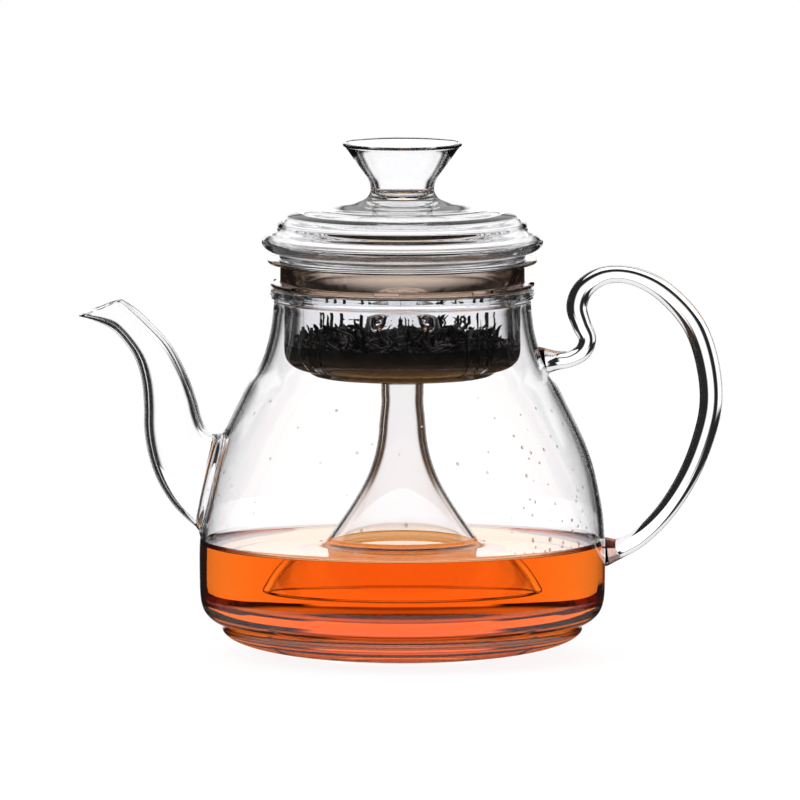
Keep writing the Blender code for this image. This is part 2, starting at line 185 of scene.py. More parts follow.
def turned(name, outline, steps=TURN_STEPS):
    """A piece turned about the pot's axis. An outline that starts and ends on the axis is open there."""
    only()
    bpy.ops.mesh.primitive_circle_add(
        vertices=len(outline), radius=MM, fill_type="NOTHING", location=(0, 0, 0)
    )
    piece = bpy.context.object
    piece.name = piece.data.name = name
    for vertex, (radius, height) in zip(piece.data.vertices, outline):
        vertex.co = (radius * MM, 0.0, height * MM)
    bpy.ops.object.mode_set(mode="EDIT")
    bpy.ops.mesh.select_all(action="SELECT")
    bpy.ops.mesh.spin(steps=steps, angle=2 * math.pi, center=(0, 0, 0), axis=(0, 0, 1))
    bpy.ops.mesh.select_all(action="SELECT")
    bpy.ops.mesh.remove_doubles(threshold=1e-6)
    bpy.ops.mesh.delete_loose(use_verts=True, use_edges=True, use_faces=False)
    bpy.ops.mesh.select_all(action="SELECT")
    bpy.ops.mesh.normals_make_consistent(inside=False)
    bpy.ops.object.mode_set(mode="OBJECT")
    return piece


def skinned(name, rings):
    """A closed solid through rings of points in millimetres, with its two ends filled."""
    only()
    sides = len(rings[0])
    bpy.ops.mesh.primitive_cylinder_add(vertices=sides, radius=MM, depth=MM, end_fill_type="NOTHING")
    piece = bpy.context.object
    piece.name = piece.data.name = name
    bpy.ops.object.mode_set(mode="EDIT")
    bpy.ops.mesh.select_all(action="SELECT")
    bpy.ops.mesh.delete(type="VERT")
    bpy.ops.object.mode_set(mode="OBJECT")
    corners = [Vector(point) * MM for ring in rings for point in ring]
    faces = [
        (a * sides + i, a * sides + (i + 1) % sides, (a + 1) * sides + (i + 1) % sides, (a + 1) * sides + i)
        for a in range(len(rings) - 1)
        for i in range(sides)
    ]
    faces += [tuple(range(sides)), tuple((len(rings) - 1) * sides + i for i in range(sides))]
    piece.data.from_pydata(corners, [], faces)
    bpy.ops.object.mode_set(mode="EDIT")
    bpy.ops.mesh.select_all(action="SELECT")
    bpy.ops.mesh.normals_make_consistent(inside=False)
    bpy.ops.object.mode_set(mode="OBJECT")
    return piece


def combine(piece, tool, operation):
    """Adds the tool to the piece or takes it away, and removes the tool."""
    only(piece)
    modifier = piece.modifiers.new(tool.name, "BOOLEAN")
    modifier.operation = operation
    modifier.solver = "MANIFOLD"
    modifier.object = tool
    bpy.ops.object.modifier_apply(modifier=modifier.name)
    bpy.data.objects.remove(tool)


def joined(name, pieces):
    """Several pieces as one object, at the origin."""
    only(*pieces)
    bpy.ops.object.transform_apply(location=True, rotation=True, scale=True)
    bpy.ops.object.join()
    piece = bpy.context.object
    piece.name = piece.data.name = name
    return piece


def finish_piece(piece, material, body, slot, *nodes, angle=35):
    """Shades the piece, gives it its material and lets it ride on its body."""
    only(piece)
    bpy.ops.object.shade_smooth_by_angle(angle=math.radians(angle))
    piece.data.materials.clear()
    piece.data.materials.append(material)
    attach(piece, body)
    if nodes:
        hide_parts(*nodes)
    return piece


# ---------------------------------------------------------------- pot, spout and handle


def pot_outside_line():
    """The pot's outer side from the edge of its flat base up to the top of its lip."""
    foot = []
    for k in range(13):
        turn = math.radians(26 + (90 - 26) * k / 12)
        radius = FOOT_CURVE_START_R + (FOOT_R - FOOT_CURVE_START_R) * math.sin(turn)
        foot.append((radius, FOOT_H * (1 - math.cos(turn))))
    foot[0] = (BASE_FLAT_R, 0.0)
    foot_lip = arc((FOOT_R - 0.45, FOOT_H + 0.05), 0.45, 5, 100, 7)
    side = curve_through(
        [
            (59.1, 9.9), (59.7, 10.45), (61.8, 11.1), (64.2, 12.5), (66.0, 14.5), (67.1, 17.2), (67.6, 20.6),
            (67.8, 27.0), (67.8, 36.0), (67.2, 45.0), (66.3, 51.6), (65.0, 58.3), (63.2, 65.0), (60.8, 71.7),
            (57.8, 78.4), (54.5, 85.1), (51.0, 91.9), (48.2, 95.9), (46.2, 100.4), (44.8, 105.3),
            (44.0, 109.0), (43.4, 113.5), (43.0, 117.6), (43.2, 119.0), (43.8, 119.8),
        ],
        5,
    )
    lip = arc((LIP_R - 1.5, 121.2), 1.5, -20, 20, 4) + arc((LIP_R - 1.6, LIP_TOP - 1.6), 1.6, 30, 90, 6)
    return foot + foot_lip + side + lip


def pot_inside_line():
    """The pot's inner side from the edge of its floor up to the neck."""
    wall = [p for p in pot_outside_line() if 18.0 < p[1] < 117.0]
    corner = curve_through(
        [
            (36.0, 2.5), (43.0, 3.6), (50.0, 5.5), (54.8, 7.9), (57.2, 10.4), (58.8, 12.1), (62.0, 13.2),
            (64.0, 15.0), (65.2, 17.2), (65.8, 20.5),
        ],
        4,
    )
    wall = [p for p in offset_line(wall, -POT_WALL) if 22.0 < p[1] < 116.0]
    return corner + wall + [(NECK_BORE_R, 117.5), (NECK_BORE_R, 120.0), (NECK_BORE_R, 122.2)]


def spout_ring(low, high, half_width, inset, sides=48):
    """One oval ring of the spout, between its lowest and its highest point, drawn in by an inset."""
    low, high = Vector((low[0], 0, low[1])), Vector((high[0], 0, high[1]))
    centre, up = (low + high) / 2, (high - low) / 2
    up = up.normalized() * (up.length - inset)
    side = Vector((0, half_width - inset, 0))
    turns = [2 * math.pi * k / sides for k in range(sides)]
    return [centre + up * math.sin(t) + side * math.cos(t) for t in turns]


def resampled(line, length, count):
    """Evenly spaced points on the first length of a line."""
    wanted = [length * k / (count - 1) for k in range(count)]
    found, gone = [], 0.0
    for start, end in zip(line, line[1:]):
        step = (end - start).length
        while len(found) < count and wanted[len(found)] <= gone + step + 1e-9:
            found.append(start.lerp(end, (wanted[len(found)] - gone) / step))
        gone += step
    while len(found) < count:
        found.append(line[-1].copy())
    return found


def spout_rings(inset, wall_line, fillet):
    """Rings from the mouth to the pot's wall, where the tube flares into the wall with a fillet."""
    lows = curve_through([s[0] for s in SPOUT_STATIONS], 5)
    highs = curve_through([s[1] for s in SPOUT_STATIONS], 5)
    widths = curve_through([(k * 10.0, s[2]) for k, s in enumerate(SPOUT_STATIONS)], 5)
    rings = [spout_ring(low, high, width[1], inset) for low, high, width in zip(lows, highs, widths)]
    tracks, crossings = [list(track) for track in zip(*rings)], []
    for track in tracks:
        length = 0.0
        for start, end in zip(track, track[1:]):
            gap_start = math.hypot(start.x, start.y) - radius_at(wall_line, start.z)
            gap_end = math.hypot(end.x, end.y) - radius_at(wall_line, end.z)
            if gap_start > 0 >= gap_end:
                share = gap_start / (gap_start - gap_end)
                crossings.append((start.lerp(end, share), length + share * (end - start).length))
                break
            length += (end - start).length
    root = sum((place for place, _ in crossings), Vector()) / len(crossings)
    lines = []
    for track, (place, length) in zip(tracks, crossings):
        line = resampled(track, length - fillet, 48)
        slope = (radius_at(wall_line, place.z + 1) - radius_at(wall_line, place.z - 1)) / 2
        normal = Vector((place.x, place.y, -slope * math.hypot(place.x, place.y))).normalized()
        away = place - root
        away = (away - normal * away.dot(normal)).normalized()
        landing = place + away * fillet
        reach = radius_at(wall_line, landing.z) - 0.03
        landing = Vector((*(landing.xy.normalized() * reach), landing.z))
        start = line[-1]
        for k in range(1, 8):
            t = k / 7
            line.append(start.lerp(place, t).lerp(place.lerp(landing, t), t))
        line.append(Vector((*(landing.xy.normalized() * (reach - 0.9)), landing.z)))
        lines.append(line)
    return [list(ring) for ring in zip(*lines)]


def scaled_ring(ring, change, along, direction):
    """A ring made wider by a change in radius, and moved along a direction."""
    centre = sum(ring, Vector()) / len(ring)
    return [p + (p - centre).normalized() * change + direction * along for p in ring]


def make_spout_solids():
    """The spout's outer solid and its bore, each with its rounded share of the mouth's lip."""
    outer = spout_rings(0.0, [p for p in pot_outside_line() if p[1] > 18.0], 3.2)
    bore = spout_rings(SPOUT_WALL, pot_inside_line(), 2.2)
    out = (sum(outer[0], Vector()) - sum(outer[2], Vector())).normalized()
    outer_lip = [(-0.5, 0.0), (-0.15, -0.15), (0.0, -0.5)]
    bore_lip = [(0.4, 0.8), (0.4, 0.0), (0.1, -0.15), (0.0, -0.5)]
    outer = [scaled_ring(outer[0], change, along, out) for change, along in outer_lip] + outer[1:]
    bore = [scaled_ring(bore[0], change, along, out) for change, along in bore_lip] + bore[1:]
    return skinned("spout_outer", outer), skinned("spout_bore", bore)


def make_handle_solid():
    """The rod of the handle, thicker where it is fused to the pot."""
    line = curve_through(HANDLE_STATIONS, 8)
    only()
    bpy.ops.curve.primitive_nurbs_path_add(location=(0, 0, 0))
    path = bpy.context.object
    path.name = "handle_rod"
    curve = path.data
    curve.splines.clear()
    spline = curve.splines.new("POLY")
    spline.points.add(len(line) - 1)
    for point, (x, z, radius) in zip(spline.points, line):
        point.co = (x * MM, 0.0, z * MM, 1.0)
        point.radius = radius
    curve.dimensions = "3D"
    curve.bevel_depth = MM
    curve.bevel_resolution = 10
    curve.use_fill_caps = True
    only(path)
    bpy.ops.object.convert(target="MESH")
    bpy.ops.object.mode_set(mode="EDIT")
    bpy.ops.mesh.select_all(action="SELECT")
    bpy.ops.mesh.remove_doubles(threshold=1e-6)
    bpy.ops.mesh.normals_make_consistent(inside=False)
    bpy.ops.object.mode_set(mode="OBJECT")
    return path


def make_pot(glass):
    """Pot, spout and handle fused into one wall of glass."""
    pot = turned("pot_glass", [(0.0, 0.0), *pot_outside_line(), (0.0, LIP_TOP)])
    inside = pot_inside_line()
    flare = arc((NECK_BORE_R + 1.2, LIP_TOP - 1.2), 1.2, 180, 92, 5)
    above = [(43.0, LIP_TOP + 0.4), (0.0, LIP_TOP + 0.4)]
    void = turned("pot_void", [(0.0, 2.0), (28.0, 2.1), *inside, *flare, *above])
    spout, bore = make_spout_solids()
    combine(pot, make_handle_solid(), "UNION")
    combine(pot, spout, "UNION")
    combine(void, bore, "UNION")
    combine(pot, void, "DIFFERENCE")
    nodes = ["pot_foot", "pot_wall", "pot_neck", "spout_root", "spout_throat", "spout_mouth", "handle"]
    return finish_piece(pot, glass, "pot", "borosilicate_glass", *nodes, angle=22)


# ---------------------------------------------------------------- infuser


def bell_line():
    """The outer side of the tube under the basket, from the basket's floor to the bell's lip."""
    return curve_through(
        [
            (7.2, 90.0), (7.0, 85.0), (7.6, 78.4), (8.2, 71.7), (9.7, 65.0), (12.3, 58.3), (16.2, 51.6),
            (20.7, 44.9), (25.9, 37.6), (30.0, 32.0), (33.2, 26.6), (34.9, 22.8),
        ],
        6,
    )


def riser_line():
    """The outer side of the tube's closed top, from the basket's floor up to the crown."""
    return curve_through(
        [
            (7.4, 94.6), (8.3, 98.0), (11.4, 102.0), (12.9, 106.0), (12.6, 109.2), (11.2, 112.2),
            (8.7, 114.7), (5.0, 116.4), (1.5, RISER_TOP),
        ],
        5,
    )


def make_infuser(glass):
    """Basket, steam riser and steam bell fused into one piece."""
    bell = bell_line()
    bell_bore = offset_line(bell, TUBE_WALL)
    riser = riser_line()
    riser_bore = offset_line(riser, -TUBE_WALL)
    floor_under = curve_through(
        [(9.4, 91.9), (16.0, 92.0), (24.0, 92.4), (28.6, 93.0), (30.6, 94.0), (31.5, 95.1)], 4
    )
    corner_under = curve_through(
        [(31.5, 95.1), (34.8, 95.8), (37.2, 97.2), (38.7, 99.2), (BASKET_R, 101.8), (BASKET_R, 108.0)], 5
    )
    flange = [(BASKET_R, 131.0), *arc((44.3, 132.05), 0.66, -80, 80, 8)]
    wall_in = BASKET_R - BASKET_WALL
    corner_in = curve_through(
        [(wall_in, 108.0), (wall_in, 102.4), (37.2, 100.2), (36.0, 98.6), (34.0, 97.4), (31.0, 96.7)], 5
    )
    floor_in = curve_through(
        [(31.0, 96.7), (29.6, 95.7), (28.0, 94.7), (23.6, 94.0), (16.0, 93.6), (9.6, 93.6)], 4
    )
    outline = [(0.0, RISER_TOP - TUBE_WALL)]
    outline += list(reversed(riser_bore))
    outline += bell_bore
    outline += arc((34.2, 22.4), 0.66, 200, 380, 8)
    outline += list(reversed(bell))
    outline += arc((9.4, 89.7), 2.2, 176, 92, 4)
    outline += floor_under + corner_under[1:]
    outline += flange
    outline += [(wall_in + 1.0, 132.7), (wall_in + 0.2, 132.3), (wall_in, 131.6)]
    outline += corner_in + floor_in[1:]
    outline += arc((9.6, 95.8), 2.2, 268, 190, 4)
    outline += riser[1:]
    outline += [(0.0, 117.0)]
    infuser = turned("infuser_glass", outline)
    cut_slits(infuser)
    cut_steam_holes(infuser)
    nodes = ["basket_cup", "basket_floor", "steam_riser", "steam_bell"]
    return finish_piece(infuser, glass, "infuser", "borosilicate_glass", *nodes)


def cut_slits(infuser):
    """Four groups of thin upright slits that run round the basket's lower corner."""
    length, middle = BASKET_R + 3 - SLIT_IN_R, (BASKET_R + 3 + SLIT_IN_R) / 2
    slits = []
    for group in range(SLIT_GROUPS):
        for k in range(SLITS_PER_GROUP):
            turn = math.radians(-90 + SLIT_START_DEG + 360 / SLIT_GROUPS * group + SLIT_PITCH_DEG * (k - 1))
            centre = Vector((middle * math.cos(turn), middle * math.sin(turn), (SLIT_TOP + SLIT_LOW) / 2))
            only()
            bpy.ops.mesh.primitive_cube_add(size=1.0, location=centre * MM, rotation=(0, 0, turn))
            slits.append(bpy.context.object)
            slits[-1].scale = Vector((length, SLIT_WIDTH, SLIT_TOP - SLIT_LOW)) * MM
    combine(infuser, joined("slit_tool", slits), "DIFFERENCE")


def cut_steam_holes(infuser):
    """Steam holes through the riser's crown, each with the bead that fire polishing leaves round it."""
    beads, bores = [], []
    for k in range(STEAM_HOLES):
        spin = Matrix.Rotation(math.radians(45 + 360 / STEAM_HOLES * k), 3, "Z")
        place = spin @ Vector((11.1, 0, STEAM_HOLE_Z)) * MM
        lean = (spin @ Matrix.Rotation(math.radians(60), 3, "Y")).to_euler()
        only()
        bpy.ops.mesh.primitive_torus_add(
            location=place, rotation=lean, major_segments=32, minor_segments=12,
            major_radius=(STEAM_HOLE_R + 0.25) * MM, minor_radius=0.75 * MM,
        )
        beads.append(bpy.context.object)
        only()
        bpy.ops.mesh.primitive_cylinder_add(
            vertices=32, radius=(STEAM_HOLE_R - 0.35) * MM, depth=7 * MM, location=place, rotation=lean
        )
        bores.append(bpy.context.object)
    combine(infuser, joined("bead_tool", beads), "UNION")
    combine(infuser, joined("bore_tool", bores), "DIFFERENCE")


# ---------------------------------------------------------------- lid and seal ring


def make_lid(glass):
    """Knob, dome and skirt fused into one piece, with its rolled rim and its short foot."""
    funnel = curve_through(
        [
            (8.2, 153.0), (9.1, 154.2), (9.1, 156.0), (9.9, 159.2), (12.2, 162.8), (14.6, 166.3),
            (17.0, 169.4), (18.6, 171.0),
        ],
        5,
    )
    knob_lip = arc((19.25, 170.85), 0.68, 130, -30, 8)
    knob = curve_through(
        [
            (19.4, 170.2), (18.4, 169.0), (16.0, 165.6), (13.6, 162.3), (11.4, 159.2), (10.6, 156.4),
            (10.9, 154.6), (12.4, 152.9), (15.2, 151.8), (19.0, 151.1),
        ],
        5,
    )
    dome = curve_through(
        [
            (19.0, 151.1), (22.5, 150.4), (27.0, 149.9), (30.7, 149.6), (34.5, 148.7), (38.0, 147.7),
            (40.2, 146.2), (41.7, 144.0), (43.3, 142.1), (45.4, 140.7), (46.6, 139.5),
        ],
        5,
    )
    rim = curve_through(
        [
            (46.6, 139.5), (47.0, 138.3), (46.6, 137.0), (45.0, 135.7), (42.6, 134.9), (41.5, 134.5),
            (41.2, 134.0),
        ],
        4,
    )
    foot = [(41.2, 133.5), *arc((40.8, 133.4), 0.4, 0, -90, 3)]
    foot += [(38.6, 133.0), (37.3, 132.7), (36.5, 131.9), (36.2, 130.6)]
    skirt = [(36.2, 126.0), (36.2, 119.4), *arc((35.4, 119.2), 0.8, -10, -170, 8)]
    skirt += [(34.6, 119.4), (34.6, 126.0), (34.6, 131.8)]
    inner = curve_through(
        [
            (35.2, 133.6), (37.0, 134.7), (39.4, 135.3), (41.8, 136.2), (44.0, 137.2), (44.9, 138.3),
            (44.2, 139.4), (42.2, 140.7), (40.7, 142.3), (39.6, 144.4), (37.8, 146.0), (34.0, 146.9),
            (30.5, 147.8), (26.8, 148.1), (22.0, 148.6), (14.0, 149.5), (4.0, 149.8),
        ],
        4,
    )
    outside = [(0.0, 152.9), (7.4, 152.9), *funnel, *knob_lip, *knob, *dome[1:], *rim[1:]]
    lid = turned("lid_glass", [*outside, *foot, *skirt, *inner, (0.0, 149.8)])
    return finish_piece(lid, glass, "lid", "borosilicate_glass", "lid_dome", "lid_skirt", "lid_knob")


def make_seal_ring(silicone):
    """Collar, flange and spigot in one moulding, with its notches."""
    outline = [
        (RING_BORE_R, SPIGOT_LOW + 0.2), (RING_BORE_R + 0.2, SPIGOT_LOW), (SPIGOT_R - 0.2, SPIGOT_LOW),
        (SPIGOT_R, SPIGOT_LOW + 0.2), (SPIGOT_R, RING_SEAT), (RING_FLANGE_R - 0.2, RING_SEAT),
        (RING_FLANGE_R, RING_SEAT + 0.2), (RING_FLANGE_R, COLLAR_LOW - 0.35),
        (RING_FLANGE_R - 0.3, COLLAR_LOW - 0.1), (COLLAR_R + 0.2, COLLAR_LOW), (COLLAR_R, COLLAR_LOW + 0.3),
        (COLLAR_R, COLLAR_TOP - 0.2), (COLLAR_R - 0.2, COLLAR_TOP), (RING_BORE_R, COLLAR_TOP),
    ]
    ring = turned("seal_ring_silicone", outline)
    notches = []
    for k in range(NOTCHES):
        turn = math.radians(-90 + NOTCH_START_DEG + 360 / NOTCHES * k)
        reach = NOTCH_FLOOR_R + 2.0
        centre = Vector((reach * math.cos(turn), reach * math.sin(turn), COLLAR_LOW + 0.6))
        only()
        bpy.ops.mesh.primitive_cube_add(size=1.0, location=centre * MM, rotation=(0, 0, turn))
        notches.append(bpy.context.object)
        notches[-1].scale = Vector((4.0, NOTCH_WIDTH, 3.0)) * MM
    combine(ring, joined("notch_tool", notches), "DIFFERENCE")
    return finish_piece(ring, silicone, "ring", "silicone", "seal_ring")


# ---------------------------------------------------------------- tea


def make_tea(tea):
    """Tea with a meniscus that climbs the pot's wall, and the ring of tea that clings to the bell."""
    inside = pot_inside_line()
    wall = [p for p in inside if p[1] < TEA_LEVEL]
    wall = offset_line(wall, TEA_INTO_GLASS)
    edge = radius_at(inside, TEA_LEVEL) + TEA_INTO_GLASS
    meniscus = [(2.0, 0.0), (1.2, 0.3), (0.55, 0.9), (0.15, 2.0), (0.0, 3.6)]
    top = [*[(edge - back, TEA_LEVEL + up) for up, back in meniscus], (12.0, TEA_LEVEL), (0.0, TEA_LEVEL)]
    floor = [(0.0, 2.0 - TEA_INTO_GLASS), (28.0, 2.1 - TEA_INTO_GLASS)]
    body = turned("tea", [*floor, *wall, *top])
    finish_piece(body, tea, "pot", "borosilicate_glass")

    bell_r = radius_at(list(reversed(bell_line())), TEA_LEVEL)
    outer = [(3.2, -0.1), (3.2, 0.0), (1.6, 0.18), (0.3, 0.55), (-0.8, 1.2), (-1.5, 1.8)]
    inner = [(-3.2, 1.8), (-3.6, 1.1), (-4.6, 0.5), (-6.0, 0.15), (-7.6, 0.0)]
    ring = turned("tea_on_bell", [(bell_r + r, TEA_LEVEL + up) for r, up in [(-7.6, -0.1), *outer, *inner]])
    finish_piece(ring, tea, "infuser", "borosilicate_glass")


# ---------------------------------------------------------------- tea leaves and condensed steam


def heap_height(x, y):
    """Height of the heap of leaves at a place: lumpy, and lower towards the basket's wall."""
    reach = math.hypot(x, y) / LEAF_REACH
    lumps = 2.8 * noise.noise(Vector((x, y, 3.0)) / 9.0) + 1.2 * noise.noise(Vector((x, y, 8.0)) / 3.5)
    return LEAF_TOP + lumps - 4.2 * reach**4 - 3.0 * max(0.0, 1 - abs(reach - 0.3) / 0.3)


def basket_inner_radius(height):
    """The basket's inner radius at a height, where the leaves lie against it."""
    corner = [(34.0, 97.4), (36.0, 98.6), (37.2, 100.2), (BASKET_R - BASKET_WALL, 102.4)]
    return radius_at(corner, height)


def kept_inside(place, riser):
    """A point moved to where a leaf can be: off the basket's floor and wall, and off the riser."""
    x, y, z = place
    reach = max(math.hypot(x, y), 0.01)
    z = max(z, 94.0 + LEAF_CLEAR + max(reach - 24.0, 0.0) * 0.34)
    riser_reach = radius_at(riser, z) + LEAF_CLEAR if z < riser[-1][1] else 0.0
    free = min(max(reach, riser_reach), basket_inner_radius(z) - LEAF_CLEAR)
    return Vector((x * free / reach, y * free / reach, z))


def copied(model):
    """A copy of a model with a mesh of its own."""
    copy = bpy.data.objects.new(model.name, model.data.copy())
    bpy.context.collection.objects.link(copy)
    return copy


def curled_leaf(model, riser, draw, length, place, yaw, pitch):
    """One rolled and twisted leaf, thick in its middle and pointed at its ends."""
    leaf = copied(model)
    width, thickness = draw.uniform(0.45, 1.0), draw.uniform(0.25, 0.5)
    twist, bend, wave = draw.uniform(-3.0, 3.0), draw.uniform(-0.28, 0.28), draw.uniform(0, 2 * math.pi)
    aim = Matrix.Rotation(yaw, 3, "Z") @ Matrix.Rotation(-pitch, 3, "Y")
    for vertex in leaf.data.vertices:
        along = vertex.co.z
        flat = Vector((0.0, vertex.co.x * width, vertex.co.y * thickness))
        flat = Matrix.Rotation(twist * along, 3, "X") @ flat
        spine = Vector((along / 2, bend * along**2 / 2, 0.06 * math.sin(4 * along + wave))) * length
        vertex.co = kept_inside(place + aim @ (spine + flat), riser) * MM
    return leaf


def make_leaves(leaf_material):
    """Wet black tea leaves, heaped round the riser: a dark bed with rolled leaves all over it."""
    draw, riser = random.Random(11), riser_line()
    top = [(float(r), LEAF_TOP) for r in range(37, 13, -1)]
    under = [(9.2, 93.45), (16.0, 93.45), (23.7, 93.85), (28.2, 94.6), (29.8, 95.6), (31.1, 96.55)]
    side = [(34.1, 97.25), (36.15, 98.5), (37.35, 100.15), (37.85, 102.4), (37.85, 104.6)]
    bed = turned("leaf_bed", [*under, *side, *top, (13.3, LEAF_TOP), (12.6, 103.0), (9.2, 97.8)], 72)
    for vertex in bed.data.vertices:
        if vertex.co.z > (LEAF_TOP - 0.1) * MM:
            vertex.co.z = (heap_height(vertex.co.x / MM, vertex.co.y / MM) - 1.4) * MM
    only()
    bpy.ops.mesh.primitive_uv_sphere_add(segments=6, ring_count=7, radius=1.0, location=(0, 0, 0))
    model, pieces, reach_out = bpy.context.object, [bed], 35.5
    for _ in range(TOP_LEAVES):
        reach, turn = math.sqrt(draw.uniform(0.13, 1.0)) * reach_out, draw.uniform(0, 2 * math.pi)
        x, y = reach * math.cos(turn), reach * math.sin(turn)
        place = Vector((x, y, heap_height(x, y) + draw.uniform(-1.8, 0.8)))
        yaw, pitch = draw.uniform(0, math.pi), draw.gauss(0, 0.4)
        pieces.append(curled_leaf(model, riser, draw, draw.uniform(6, 15), place, yaw, pitch))
    for _ in range(WALL_LEAVES):
        turn, z = draw.uniform(0, 2 * math.pi), draw.uniform(96.0, 105.5)
        place = Vector((36.4 * math.cos(turn), 36.4 * math.sin(turn), z))
        yaw, pitch = turn + math.pi / 2, draw.uniform(-0.9, 0.9)
        pieces.append(curled_leaf(model, riser, draw, draw.uniform(5, 11), place, yaw, pitch))
    for _ in range(STEMS):
        reach, turn = draw.uniform(16, reach_out), draw.uniform(0, 2 * math.pi)
        x, y = reach * math.cos(turn), reach * math.sin(turn)
        place = Vector((x, y, heap_height(x, y) + draw.uniform(0.5, 2.6)))
        length, pitch = draw.uniform(7, 13), draw.uniform(0.5, 1.2)
        pieces.append(curled_leaf(model, riser, draw, length, place, turn, pitch))
    bpy.data.objects.remove(model)
    leaves = joined("tea_leaves", pieces)
    return finish_piece(leaves, leaf_material, "infuser", "silicone", angle=60)


def make_condensation(water):
    """Droplets of condensed steam on the inner wall, most of them above the tea on the handle's side."""
    draw = random.Random(5)
    wall = [p for p in pot_inside_line() if 30.0 < p[1] < 100.0]
    only()
    bpy.ops.mesh.primitive_ico_sphere_add(subdivisions=2, radius=1.0, location=(0, 0, 0))
    model, drops = bpy.context.object, []
    for _ in range(DROPLETS):
        turn = math.radians(draw.gauss(0, 42) + draw.choice((0, 0, 0, 180)))
        z = 39.5 + 50.0 * draw.random() ** 1.6
        reach, slope = radius_at(wall, z), radius_at(wall, z + 0.5) - radius_at(wall, z - 0.5)
        size = draw.uniform(0.22, 0.55) * (1.5 if draw.random() < 0.12 else 1.0)
        aim = Matrix.Rotation(turn, 3, "Z") @ Matrix.Rotation(math.atan(slope), 3, "Y")
        stretch = Matrix.Diagonal((0.62, 1.0, draw.uniform(1.0, 1.35)))
        drop = copied(model)
        for vertex in drop.data.vertices:
            lean = aim @ stretch @ vertex.co * size
            vertex.co = (Vector((reach * math.cos(turn), reach * math.sin(turn), z)) + lean) * MM
        drops.append(drop)
    bpy.data.objects.remove(model)
    return finish_piece(joined("condensation", drops), water, "pot", "borosilicate_glass")


# ---------------------------------------------------------------- materials


def linear(code):
    """A hex sRGB colour as linear red, green and blue with alpha 1."""
    values = [int(code[i : i + 2], 16) / 255 for i in (1, 3, 5)]
    return (*[v / 12.92 if v <= 0.04045 else ((v + 0.055) / 1.055) ** 2.4 for v in values], 1.0)


def add(tree, kind, settings=None, links=None):
    """Adds a node, sets its properties and sockets by name, and links its inputs to other nodes' outputs."""
    node = tree.nodes.new(kind)
    for key, value in (settings or {}).items():
        if isinstance(key, int) or key in node.inputs:
            node.inputs[key].default_value = value
        else:
            setattr(node, key, value)
    for key, output in (links or {}).items():
        tree.links.new(output, node.inputs[key])
    return node


def new_material(name):
    """A material with an empty node tree, and the tree."""
    material = bpy.data.materials.new(name)
    material.use_nodes = True
    material.node_tree.nodes.clear()
    return material, material.node_tree


def lit_through(tree, shader, tint):
    """Lets light pass a clear piece to what is behind it, so that its shadow stays as pale as a real one's."""
    path = add(tree, "ShaderNodeLightPath")
    clear = add(tree, "ShaderNodeBsdfTransparent", {"Color": linear(tint)})
    return add(
        tree, "ShaderNodeMixShader",
        links={0: path.outputs["Is Shadow Ray"], 1: shader.outputs[0], 2: clear.outputs[0]},
    )


def borosilicate_glass():
    """Borosilicate glass, blown and fire polished: clear, dark at its edges, with faint waves in the wall."""
    material, tree = new_material("blown borosilicate glass")
    place = add(tree, "ShaderNodeTexCoord")
    waves = add(  # waves about 25 mm long and a few hundredths of a millimetre deep
        tree, "ShaderNodeTexNoise", {"Scale": 40.0, "Detail": 1.0, "Roughness": 0.4},
        {"Vector": place.outputs["Object"]},
    )
    surface = add(
        tree, "ShaderNodeBump", {"Strength": 0.35, "Distance": 0.00015}, {"Height": waves.outputs[0]}
    )
    shader = add(
        tree, "ShaderNodeBsdfPrincipled",
        {"Base Color": linear("#FDFDFE"), "Roughness": 0.0, "IOR": 1.47, "Transmission Weight": 1.0},
        {"Normal": surface.outputs[0]},
    )
    mixed = lit_through(tree, shader, "#F2F5F5")
    add(tree, "ShaderNodeOutputMaterial", links={"Surface": mixed.outputs[0]})
    return material


def smoke_silicone():
    """Translucent silicone, moulded: tan where light comes through it and dark brown where it is thick."""
    material, tree = new_material("moulded smoke silicone")
    shader = add(
        tree, "ShaderNodeBsdfPrincipled",
        {"Base Color": linear("#F3E3D2"), "Roughness": 0.1, "IOR": 1.41, "Transmission Weight": 1.0},
    )
    mixed = lit_through(tree, shader, "#B79F8A")
    fog = add(tree, "ShaderNodeVolumeAbsorption", {"Color": linear("#B0784E"), "Density": 230.0})
    add(tree, "ShaderNodeOutputMaterial", links={"Surface": mixed.outputs[0], "Volume": fog.outputs[0]})
    return material


def black_tea():
    """Brewed black tea: clear, with an orange that deepens with the depth of tea that is looked through."""
    material, tree = new_material("brewed black tea")
    shader = add(
        tree, "ShaderNodeBsdfPrincipled",
        {"Base Color": linear("#FFFFFF"), "Roughness": 0.0, "IOR": 1.333, "Transmission Weight": 1.0},
    )
    mixed = lit_through(tree, shader, "#FFC08A")
    amber = (0.995, 0.646, 0.106, 1.0)
    depth = add(tree, "ShaderNodeVolumeAbsorption", {"Color": amber, "Density": 50.0})
    add(tree, "ShaderNodeOutputMaterial", links={"Surface": mixed.outputs[0], "Volume": depth.outputs[0]})
    return material


def condensed_water():
    """Droplets of clean water: small lenses that show a dark rim and a point of light."""
    material, tree = new_material("condensed water")
    shader = add(
        tree, "ShaderNodeBsdfPrincipled",
        {"Base Color": linear("#FFFFFF"), "Roughness": 0.0, "IOR": 1.333, "Transmission Weight": 1.0},
    )
    mixed = lit_through(tree, shader, "#F2F5F5")
    add(tree, "ShaderNodeOutputMaterial", links={"Surface": mixed.outputs[0]})
    return material


